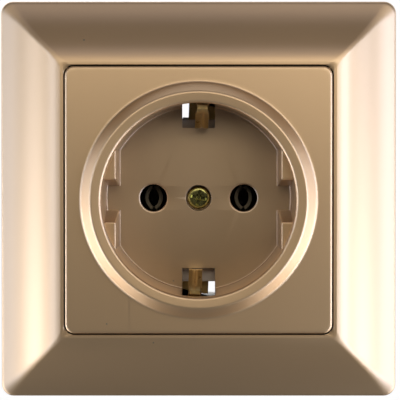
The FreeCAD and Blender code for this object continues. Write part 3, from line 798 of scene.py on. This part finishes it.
# %% Put the cover's shell together
def add_plate(bm):
    """The plate's rounded edge, its back and its skirt; returns the first and the last ring."""
    square = start_ring(bm, 4 * (SQUARE_ARC + 3))
    lay_square(square, PLATE_HALF - EDGE_BAND, PLATE_FRONT, 1.0)
    edge = rounded([(PLATE_HALF - EDGE_BAND, PLATE_FRONT),
                    (PLATE_HALF, PLATE_FRONT, PLATE_ROUND), (PLATE_HALF, PLATE_BACK)])
    inside = SKIRT_HALF - SKIRT_WALL
    back = [(SKIRT_HALF, PLATE_BACK), (SKIRT_HALF, SKIRT_BACK), (inside, SKIRT_BACK),
            (inside, PLATE_BACK)]
    stations = [(u, v, max(PLATE_CORNER - (PLATE_HALF - u), LEAST_CORNER))
                for u, v in edge[1:] + back]
    return square, sweep(bm, square, lay_square, stations)[-1]


def add_shell(bm):
    square, inner_square = add_plate(bm)
    stations, slot_station = recess_stations()
    foot = start_ring(bm, 2 * (SLOT_COLUMNS + WALL_COLUMNS))
    lay_columns(foot, *stations[0])
    rings = [foot] + sweep(bm, foot, lay_columns, stations[1:])
    fill(bm, edges_of(bm, square) + edges_of(bm, foot), -1)
    inner = rings[slot_station:]
    top = start_ring(bm, 2 * (SLOT_COLUMNS + WALL_COLUMNS))
    lay_columns(top, TUBE_R, PLATE_BACK)
    tube_end = [(TUBE_R, FLOOR_BACK - TUBE_ROUND), (TUBE_R - TUBE_ROUND, FLOOR_BACK)]
    outer = [top] + sweep(bm, top, lay_columns, tube_end)
    fill(bm, edges_of(bm, inner_square) + edges_of(bm, top), 1)
    open_wall(bm, inner)
    open_wall(bm, outer)
    fronts, backs = floor_holes(bm)
    for start in SLOT_STARTS:
        front, back = line_slot(bm, inner, outer, start)
        fronts += front
        backs += back
    fill(bm, wall_arcs(bm, inner[-1]) + fronts, -1)
    fill(bm, wall_arcs(bm, outer[-1]) + backs, 1)


# %% Posts and ribs behind the plate
POST_PLACE = 22.4
POST_R = 2.3
RING_FACE = -1.0
PLATE_RIB_HALF = 4.5
PLATE_RIB_DROP = 0.9
PLATE_RIB_REACH = 0.2


def add_cylinder(bm, radius, y0, y1, segments, x=0.0, z=0.0, radius_back=None):
    """A capped cylinder or cone along the socket's axis, in millimetres."""
    middle = Matrix.Translation(Vector((x, (y0 + y1) / 2, z)) * MM)
    back = radius if radius_back is None else radius_back
    bmesh.ops.create_cone(bm, cap_ends=True, segments=segments, radius1=back * MM,
                          radius2=radius * MM, depth=abs(y1 - y0) * MM,
                          matrix=middle @ Matrix.Rotation(math.pi / 2, 4, "X"))


def bevel_edges(bm, edges, width, segments):
    bmesh.ops.bevel(bm, geom=edges, offset=width * MM, segments=segments, profile=0.5,
                    affect="EDGES", material=-1, clamp_overlap=True)


def add_posts_and_ribs(bm):
    for x in (-POST_PLACE, POST_PLACE):
        for z in (-POST_PLACE, POST_PLACE):
            add_cylinder(bm, POST_R, PLATE_BACK - SUNK, RING_FACE, 32, x, z)
    for quarter in range(4):
        low = (-PLATE_RIB_HALF, PLATE_FRONT + PLATE_RIB_DROP, PLATE_HALF - EDGE_BAND)
        high = (PLATE_RIB_HALF, PLATE_BACK - SUNK / 2, PLATE_HALF + PLATE_RIB_REACH)
        turn(bm, add_box(bm, low, high), 90 * quarter)


# %% [markdown]
# ## Guides in the recess
#
# Two raised guides on each side of the recess keep a plug from turning. Each pair leaves a groove
# between them that narrows towards the floor. A guide is a block whose front face and floor face
# differ, so it starts as a face with a few corners on the chord and round the wall, and is extruded
# to the floor in three steps whose corners are moved onto new outlines. The last step flares out a
# little: that is the mould's fillet, and it shows in the photograph as a second pale line along
# each guide. Only the edges that a finger can touch are bevelled.

# %% Guides
GUIDE_FRONT_X = 17.05
GUIDE_FLOOR_X = 16.7
GUIDE_FRONT_Y = -8.05
GROOVE_FRONT_HALF = {1: 4.1, -1: 4.6}
GROOVE_FLOOR_HALF = 2.6
GUIDE_BURIED_R = 20.4
GUIDE_ROUND = 0.3
GUIDE_FOOT = 0.3
GUIDE_ARC_STEPS = 10


def guide_outline(chord_x, groove_half):
    """Corners of a guide from the front: the chord's end at the groove, then round the wall."""
    reach = GUIDE_BURIED_R
    first = math.atan2(math.sqrt(reach ** 2 - chord_x ** 2), chord_x)
    last = math.asin(groove_half / reach)
    angles = [first + (last - first) * k / GUIDE_ARC_STEPS for k in range(GUIDE_ARC_STEPS + 1)]
    wall = [(reach * math.cos(angle), reach * math.sin(angle)) for angle in angles]
    return [(chord_x, groove_half)] + wall


def guide_steps():
    """The outlines that a guide passes on its way from its foot in the floor to just above it."""
    above = FLOOR_Y - GUIDE_FOOT
    half = GROOVE_FLOOR_HALF
    return [(above, guide_outline(GUIDE_FLOOR_X, half)),
            (above + GUIDE_FOOT * 0.62, guide_outline(GUIDE_FLOOR_X - GUIDE_FOOT * 0.22, half)),
            (FLOOR_Y + 0.05, guide_outline(GUIDE_FLOOR_X - GUIDE_FOOT, half))]


def add_guide(bm, side, way):
    front = guide_outline(GUIDE_FRONT_X, GROOVE_FRONT_HALF[way])
    verts = [bm.verts.new(Vector((side * x, GUIDE_FRONT_Y, way * z)) * MM) for x, z in front]
    face = bm.faces.new(verts)
    ring = verts
    for y, outline in guide_steps():
        ring = next_ring(bm, ring)
        for vertex, (x, z) in zip(ring, outline):
            vertex.co = Vector((side * x, y, way * z)) * MM
    upright = next(e for e in verts[0].link_edges if e.other_vert(verts[0]) not in face.verts)
    touched = [bm.edges.get((verts[0], verts[1])), bm.edges.get((verts[0], verts[-1])), upright]
    bevel_edges(bm, touched, GUIDE_ROUND, 4)


# %% Make the cover plate
def make_cover_plate():
    bm = bmesh.new()
    add_shell(bm)
    add_posts_and_ribs(bm)
    for side in (-1, 1):
        for way in (-1, 1):
            add_guide(bm, side, way)
    plate = finish_piece("cover_plate", bm, lacquer, "socket",
                         ["front_cover"])
    keep_flat(plate)


make_cover_plate()

# %% [markdown]
# ## The centre screw
#
# One screw holds the plate. Only its head shows, sunk in the middle of the recess, and its cross
# drive catches the lamps in small glints. The head and the shank are one section spun round the
# axis. The cross is cut with a boolean, because its tapered arms meet the flat head in edges that
# no sweep gives. The thread is a helix: a small V spun with a step along the axis.

# %% Thread and screw sections
SCREW_R = 1.5
THREAD_STEPS = 20
THREAD_DEPTH = 0.55
THREAD_FOOT = 0.42
THREAD_CREST = 0.06


def spin_section(bm, points, steps, x=0.0, z=0.0):
    """Spins a section (radius, y) round an axis along Y through (x, z)."""
    verts = [bm.verts.new(Vector((x + r, y, z)) * MM) for r, y in points]
    edges = chain(bm, verts)
    bmesh.ops.spin(bm, geom=verts + edges, cent=Vector((x, 0, z)) * MM, axis=(0, 1, 0),
                   dvec=(0, 0, 0), angle=2 * math.pi, steps=steps, use_merge=True,
                   use_duplicate=False)


def add_thread(bm, pitch, y0, y1, x=0.0, z=0.0):
    """A helical V ridge between y0 and y1, standing a little into the shank."""
    root = SCREW_R - THREAD_DEPTH * pitch
    ridge = [(root, -THREAD_FOOT), (SCREW_R, -THREAD_CREST), (SCREW_R, THREAD_CREST),
             (root, THREAD_FOOT)]
    verts = [bm.verts.new(Vector((x + r, y0 + share * pitch, z)) * MM) for r, share in ridge]
    edges = chain(bm, verts)
    turns = (y1 - y0) / pitch
    steps = int(turns * THREAD_STEPS)
    step = Vector((0, (y1 - y0) * MM / steps, 0))
    bmesh.ops.spin(bm, geom=verts + edges, cent=Vector((x, 0, z)) * MM, axis=(0, 1, 0),
                   dvec=step, angle=2 * math.pi * turns, steps=steps, use_merge=False,
                   use_duplicate=False)


def turned_and_cut(section, steps, cutter_bm, x=0.0, z=0.0):
    """Spins a section into a blank and cuts a drive into its head, once and for all."""
    bm = bmesh.new()
    spin_section(bm, section, steps, x, z)
    bmesh.ops.remove_doubles(bm, verts=bm.verts, dist=0.001 * MM)
    bmesh.ops.recalc_face_normals(bm, faces=bm.faces)
    blank = plain_object("blank", bm)
    cutter = plain_object("cutter", cutter_bm)
    cut = blank.modifiers.new("cut", "BOOLEAN")
    cut.object = cutter
    cut.solver = "EXACT"
    cut.use_self = True
    ready = blank.evaluated_get(bpy.context.evaluated_depsgraph_get())
    done = bmesh.new()
    done.from_mesh(bpy.data.meshes.new_from_object(ready))
    bpy.data.objects.remove(cutter)
    bpy.data.objects.remove(blank)
    return done


# %% Centre screw
HEAD_TOP = 7.55
HEAD_R = 2.4
HEAD_FLAT_R = 1.5
HEAD_DISH = 0.02
HEAD_FALL = 0.1
HEAD_ROUND = 0.5
SHANK_R = 1.25
SCREW_END = 20.55
SCREW_PITCH = 0.5
SCREW_TURN = 12.0
DRIVE_HALF = 1.9
DRIVE_WIDTH = 0.7
DRIVE_DEPTH = 1.0
DRIVE_TAPER_ALONG = 0.72
DRIVE_TAPER_ACROSS = 0.8
DRIVE_CONE_R = 0.91
DRIVE_CONE_END_R = 0.35


def drive_cutter():
    """The cross drive: two arms that narrow towards their floor, and a cone in the middle."""
    bm = bmesh.new()
    for angle in (0, 90):
        arm = add_box(bm, (-DRIVE_HALF, HEAD_TOP - 0.5, -DRIVE_WIDTH / 2),
                      (DRIVE_HALF, HEAD_TOP + DRIVE_DEPTH, DRIVE_WIDTH / 2))
        for vertex in arm:
            if vertex.co.y > HEAD_TOP * MM:
                vertex.co.x *= DRIVE_TAPER_ALONG
                vertex.co.z *= DRIVE_TAPER_ACROSS
        turn(bm, arm, angle + SCREW_TURN)
    add_cylinder(bm, DRIVE_CONE_R, HEAD_TOP - 0.3, HEAD_TOP + 1.3, 24,
                 radius_back=DRIVE_CONE_END_R)
    return bm


def make_centre_screw():
    section = rounded([(0, HEAD_TOP - HEAD_DISH), (HEAD_FLAT_R, HEAD_TOP),
                       (HEAD_R, HEAD_TOP + HEAD_FALL, HEAD_ROUND), (HEAD_R, SCREW_SEAT),
                       (SHANK_R, SCREW_SEAT), (SHANK_R, SCREW_END - 0.5),
                       (SHANK_R - 0.35, SCREW_END), (0, SCREW_END)], 4)
    bm = turned_and_cut(section, 64, drive_cutter())
    add_thread(bm, SCREW_PITCH, SCREW_SEAT + 1.5, SCREW_END - 0.8)
    screw = finish_piece("centre_screw", bm, yellow_zinc, "socket",
                         ["cover_screw"])
    keep_flat(screw)


make_centre_screw()

# %% Claw screws
CLAW_X = 24.9
CLAW_Z = 7.5
CLAW_HEAD_R = 2.8
CLAW_HEAD_TOP = -3.0
CLAW_HEAD_FACE = -1.0
CLAW_CORE_R = 1.22
CLAW_END = 27.0
CLAW_PITCH = 0.6
DRIVE_SLOT_DEPTH = 0.9
DRIVE_SLOT_WIDTH = 0.8


def make_claw_screw(name, side):
    x, z = side * CLAW_X, side * CLAW_Z
    section = rounded([(0, CLAW_HEAD_TOP), (CLAW_HEAD_R, CLAW_HEAD_TOP, 0.5),
                       (CLAW_HEAD_R, CLAW_HEAD_FACE, 0.12), (CLAW_CORE_R, CLAW_HEAD_FACE),
                       (CLAW_CORE_R, CLAW_END - 0.4), (CLAW_CORE_R - 0.4, CLAW_END),
                       (0, CLAW_END)], 4)
    slot = bmesh.new()
    reach = CLAW_HEAD_R + 0.5
    add_box(slot, (x - reach, CLAW_HEAD_TOP - 0.5, z - DRIVE_SLOT_WIDTH / 2),
            (x + reach, CLAW_HEAD_TOP + DRIVE_SLOT_DEPTH, z + DRIVE_SLOT_WIDTH / 2))
    bm = turned_and_cut(section, 48, slot, x, z)
    add_thread(bm, CLAW_PITCH, CLAW_HEAD_FACE + 0.8, CLAW_END - 0.7, x, z)
    screw = finish_piece(name + "_threaded", bm, zinc,
                         name.replace("_claw", ""), [name])
    keep_flat(screw)


make_claw_screw("right_claw_screw", 1)
make_claw_screw("left_claw_screw", -1)

# %% [markdown]
# ## Earth springs
#
# The earth strap is one brass strip. Each end is bent up along the recess wall and folded back
# down, so that a springy finger stands in the slot, stiffened by a pressed groove. A strip is a
# flat grid whose rows follow the folded line, so it starts as a grid, each row is carried to its
# place on the line, and the groove is pressed by pushing the middle columns along the row's own
# normal. Solidify then gives the sheet's thickness.

# %% A folded line with rounded bends
SPRING_LINE = [(16.6, 11.05), (19.6, 11.05, 0.8), (19.6, -7.55, 0.55), (18.4, -6.65, 1.2),
               (15.2, -0.95, 2.0), (15.9, 6.75)]
SPRING_SHEET = 0.6
SPRING_HALF = 1.4
SPRING_GROOVE_DEPTH = 0.42
SPRING_GROOVE_WIDTH = 0.42
SPRING_GROOVE_SHIFT = 0.05
SPRING_GROOVE_SPAN = (-7.4, 0.6)
SPRING_GROOVE_FADE = 1.6
FOLD_NARROWER = 0.26
FOLD_SPAN = (-9.0, -6.2)
FOLD_FADE = 0.9
TIP_NARROWER = 0.3
TIP_SPAN = (3.5, 12.0)
TIP_FADE = 3.0
TIP_WITHIN = 17.0
GROOVE_WITHIN = 19.0
EARTH_TURN = 2.4
STRIP_ROWS = 90
STRIP_COLUMNS = 14


def walk(points, count):
    """Evenly spaced places along a line of points, each with its direction."""
    lengths = [math.dist(a, b) for a, b in zip(points, points[1:])]
    total = sum(lengths)
    places, k, gone = [], 0, 0.0
    for row in range(count + 1):
        target = total * row / count
        while k < len(lengths) - 1 and gone + lengths[k] < target:
            gone += lengths[k]
            k += 1
        share = (target - gone) / lengths[k]
        a, b = Vector(points[k]), Vector(points[k + 1])
        places.append((a.lerp(b, share), (b - a).normalized()))
    return places


def hump(value, low, high, fade):
    """1 between low and high, 0 outside, with soft ends."""
    rise = min(max((value - low) / fade, 0), 1)
    fall = min(max((high - value) / fade, 0), 1)
    ease = min(rise, fall)
    return ease * ease * (3 - 2 * ease)


def strip_half_width(z, y):
    """The finger narrows a little at its fold and more at its tip."""
    fold = hump(y, *FOLD_SPAN, FOLD_FADE)
    tip = hump(y, *TIP_SPAN, TIP_FADE) if z < TIP_WITHIN else 0
    return SPRING_HALF * (1 - FOLD_NARROWER * fold - TIP_NARROWER * tip)


def add_spring(bm, half_turn):
    places = walk(rounded(SPRING_LINE, 8), STRIP_ROWS)
    made = bmesh.ops.create_grid(bm, x_segments=STRIP_COLUMNS, y_segments=STRIP_ROWS,
                                 size=1.0)["verts"]
    for vertex in made:
        row = round((vertex.co.y + 1) / 2 * STRIP_ROWS)
        across = vertex.co.x
        (z, y), way = places[row]
        groove = hump(y, *SPRING_GROOVE_SPAN, SPRING_GROOVE_FADE) if z < GROOVE_WITHIN else 0
        from_groove = abs(across - SPRING_GROOVE_SHIFT) / SPRING_GROOVE_WIDTH
        press = SPRING_GROOVE_DEPTH * groove * max(0, 1 - from_groove)
        normal = Vector((-way.y, way.x))
        spot = Vector((z, y)) + normal * -press
        vertex.co = Vector((across * strip_half_width(z, y), spot.y, spot.x)) * MM
    turn(bm, made, half_turn + EARTH_TURN)


# %% Make the earth springs
STRAP_HALF = 2.85
STRAP_FRONT = 10.55
STRAP_BACK = 11.35
STRAP_REACH = 20.4
NUT_R = 2.4
NUT_HEIGHT = 1.8
STRAP_EDGE = 0.1
FOLDED_ANGLE = math.radians(50)


def make_earth_springs():
    bm = bmesh.new()
    for half_turn in (0, 180):
        add_spring(bm, half_turn)
    bmesh.ops.solidify(bm, geom=list(bm.faces), thickness=SPRING_SHEET * MM)
    bar = add_box(bm, (-STRAP_HALF, STRAP_FRONT, -STRAP_REACH),
                  (STRAP_HALF, STRAP_BACK, STRAP_REACH))
    turn(bm, bar, EARTH_TURN)
    add_cylinder(bm, NUT_R, STRAP_BACK - SUNK, STRAP_BACK + NUT_HEIGHT, 40)
    springs = finish_piece("earth_springs", bm, brass, "socket", ["earth_strap"])
    round_edges(springs, STRAP_EDGE, FOLDED_ANGLE)


make_earth_springs()

# %% [markdown]
# ## Pieces that keep their solid's form
#
# The base, the ring, the contacts and the clamps are right as they are, but a solid straight from
# its drawing has edges as sharp as a knife, and those never catch a highlight. The real ones have a
# mould radius, a punch burr or a tumbled edge. Each is therefore copied, its triangles are joined
# back into flat faces, and a small bevel rounds every edge that turns by more than thirty-five
# degrees.

# %% Softened copies
WINDOW_EDGE = 17.0
WINDOW_MOVES = {1: -0.45, -1: -0.75}
WINDOW_HALF = 4.7
FLAT_ANGLE = math.radians(0.6)
EDGE_ANGLE = math.radians(35)


def move_windows(bm):
    """Sets the inner edges of the insulator's two windows where the photograph shows them."""
    for vert in bm.verts:
        way = 1 if vert.co.z > 0 else -1
        on_edge = abs(abs(vert.co.z) - WINDOW_EDGE * MM) < 0.1 * MM
        if on_edge and abs(vert.co.x) < WINDOW_HALF * MM:
            vert.co.z += WINDOW_MOVES[way] * MM


def softened(node, width, material, body):
    """A copy of a solid, with its flat faces joined and its edges rounded."""
    bm = bmesh.new()
    bm.from_mesh(frame["nodes"][node].data)
    bmesh.ops.remove_doubles(bm, verts=bm.verts, dist=LOOSE_PLACE)
    if node == "contact_cover":
        move_windows(bm)
    bmesh.ops.dissolve_limit(bm, angle_limit=FLAT_ANGLE, use_dissolve_boundaries=False,
                             verts=bm.verts, edges=bm.edges)
    piece = finish_piece(node + "_finished", bm, material, body, [node])
    round_edges(piece, width, EDGE_ANGLE)


# %% Choose the finish and the edge radius of each
DRESS = {"grey_insulator": (grey_plastic, 0.14), "white_insulator": (white_plastic, 0.22),
         "brass": (brass, 0.07), "zinc_steel": (zinc, 0.07),
         "yellow_zinc_steel": (yellow_zinc, 0.07)}
REMODELLED = ("outer_frame", "front_cover", "cover_screw", "earth_strap",
              "right_claw_screw", "left_claw_screw")
slots = {part["node"]: part["material_slot"] for part in frame["record"]["subparts"]}
bodies = frame["record"]["behaviour"]["bodies"]
body_of = {node: body for body, nodes in bodies.items() for node in nodes}
for name, slot in slots.items():
    if name not in REMODELLED:
        material, edge_radius = DRESS[slot]
        # The contacts take the darker metal: painted shade for the deep pin holes.
        if name in ("left_contact", "right_contact"):
            material = contact_shade_metal
        softened(name, edge_radius, material, body_of[name])

# %% [markdown]
# ## Studio
#
# The photograph has a plain white background that shows through the two pockets beside the springs,
# and big soft lights left and right that the frame's slopes mirror. Metal shows what it faces, so
# the lights are made like a product photographer's: tall soft boxes on both sides at two heights,
# smaller and weaker ones above the camera, and one behind for the back. Their places, strengths and
# tints were fitted to the photograph's brightness, so they aren't the real studio's. The world is
# dim in front and a little brighter behind, but the camera sees it as white, and so does a
# reflection that looks behind.

# %% World
FRONT_LEVEL = 0.02
BACK_LEVEL = 0.12
BEHIND_FROM = -0.05
BEHIND_TO = 0.15
CAMERA_RAY = 0
GLOSSY_RAY = 3
TRANSMISSION_RAY = 6


def make_world():
    world = bpy.data.worlds.new("studio")
    world.use_nodes = True
    background = world.node_tree.nodes["Background"]
    wire = Wire(world.node_tree)
    direction = wire.node("TexCoord", out=GENERATED_OUTPUT)
    behind = part_of(direction, 1).between(BEHIND_FROM, BEHIND_TO)
    seen = wire.node("LightPath", out=CAMERA_RAY)
    through = wire.node("LightPath", out=TRANSMISSION_RAY)
    mirrored = wire.node("LightPath", out=GLOSSY_RAY)
    level = FRONT_LEVEL + behind * (BACK_LEVEL - FRONT_LEVEL)
    white = wire.maths("MAXIMUM", wire.maths("MAXIMUM", seen, through), mirrored * behind)
    wire.plug(background.inputs["Strength"], level + white * (1 - level))
    background.inputs["Color"].default_value = (1, 1, 1, 1)
    bpy.context.scene.world = world
    print("world levels:", FRONT_LEVEL, "in front,", BACK_LEVEL, "behind")


make_world()

# %% Lamps
TALL_BOX = (0.28, 0.10, 0.30)
SMALL_BOX = (0.20, 0.10, 0.10)
WIDE_BOX = (0.20, 0.25, 0.07)
FAR_BOX = (0.40, 0.30, 0.30)
LAMPS = {
    "left_side": (TALL_BOX, 82, -8, 0.170, (0.86, 1.05, 1.42)),
    "left_box": (TALL_BOX, 50, -8, 0.200, (0.88, 1.04, 1.36)),
    "left_low": (TALL_BOX, 80, -32, 0.310, (0.98, 1.0, 1.02)),
    "right_side": (TALL_BOX, -82, -8, 0.200, (0.86, 1.05, 1.50)),
    "right_box": (TALL_BOX, -50, -8, 0.340, (0.90, 1.05, 1.42)),
    "right_near": (TALL_BOX, -34, -8, 0.060, (0.96, 1.0, 1.0)),
    "right_low": (TALL_BOX, -80, -32, 0.260, (0.98, 1.0, 1.02)),
    "right_high": (SMALL_BOX, -25, 25, 0.020, (1.04, 1.0, 0.90)),
    "top_box": (WIDE_BOX, 0, 22, 0.080, (1.07, 1.0, 0.82)),
    "top_middle": (WIDE_BOX, 0, 36, 0.020, (1.05, 1.0, 0.90)),
    "top_high": (WIDE_BOX, 0, 52, 0.020, (0.95, 1.0, 1.30)),
    "back_box": (FAR_BOX, 160, 25, 0.55, (1.0, 1.0, 1.0)),
}


def make_lamp(name, box, left, up, watts, tint):
    """A soft box seen from the plate at so many degrees to the left of the camera and up."""
    distance, width, height = box
    data = bpy.data.lights.new(name, "AREA")
    data.shape = "RECTANGLE"
    data.size = width
    data.size_y = height
    data.energy = watts
    data.color = tint
    lamp = bpy.data.objects.new(name, data)
    left, up = math.radians(left), math.radians(up)
    flat = math.cos(up)
    way = Vector((-math.sin(left) * flat, -math.cos(left) * flat, math.sin(up)))
    lamp.location = way * distance
    lamp.rotation_euler = (-way).to_track_quat("-Z", "Y").to_euler()
    bpy.context.scene.collection.objects.link(lamp)


for name, settings in LAMPS.items():
    make_lamp(name, *settings)
print("lamps:", len(LAMPS))

# %% Studio floor
STUDIO_FLOOR_Z = -0.75
STUDIO_FLOOR_HALF = 0.9
FLOOR_TONE = (0.80, 0.80, 0.79, 1)
FLOOR_TONE_LOW = (0.76, 0.76, 0.75, 1)


def make_floor():
    bm = bmesh.new()
    bmesh.ops.create_grid(bm, x_segments=1, y_segments=1, size=STUDIO_FLOOR_HALF,
                          matrix=Matrix.Translation((0, 0.1, STUDIO_FLOOR_Z)))
    floor = plain_object("studio_floor", bm)
    material, shader, wire = new_material("pale_floor")
    tone = noise(wire, object_point(wire), 6.0, 3.0).between(0.2, 0.8)
    wire.plug(shader.inputs["Base Color"], tone.mix(FLOOR_TONE, FLOOR_TONE_LOW))
    shader.inputs["Roughness"].default_value = 0.7
    floor.data.materials.append(material)
    print("studio floor at", STUDIO_FLOOR_Z, "m")


make_floor()

bpy.context.scene.view_settings.view_transform = "Standard"
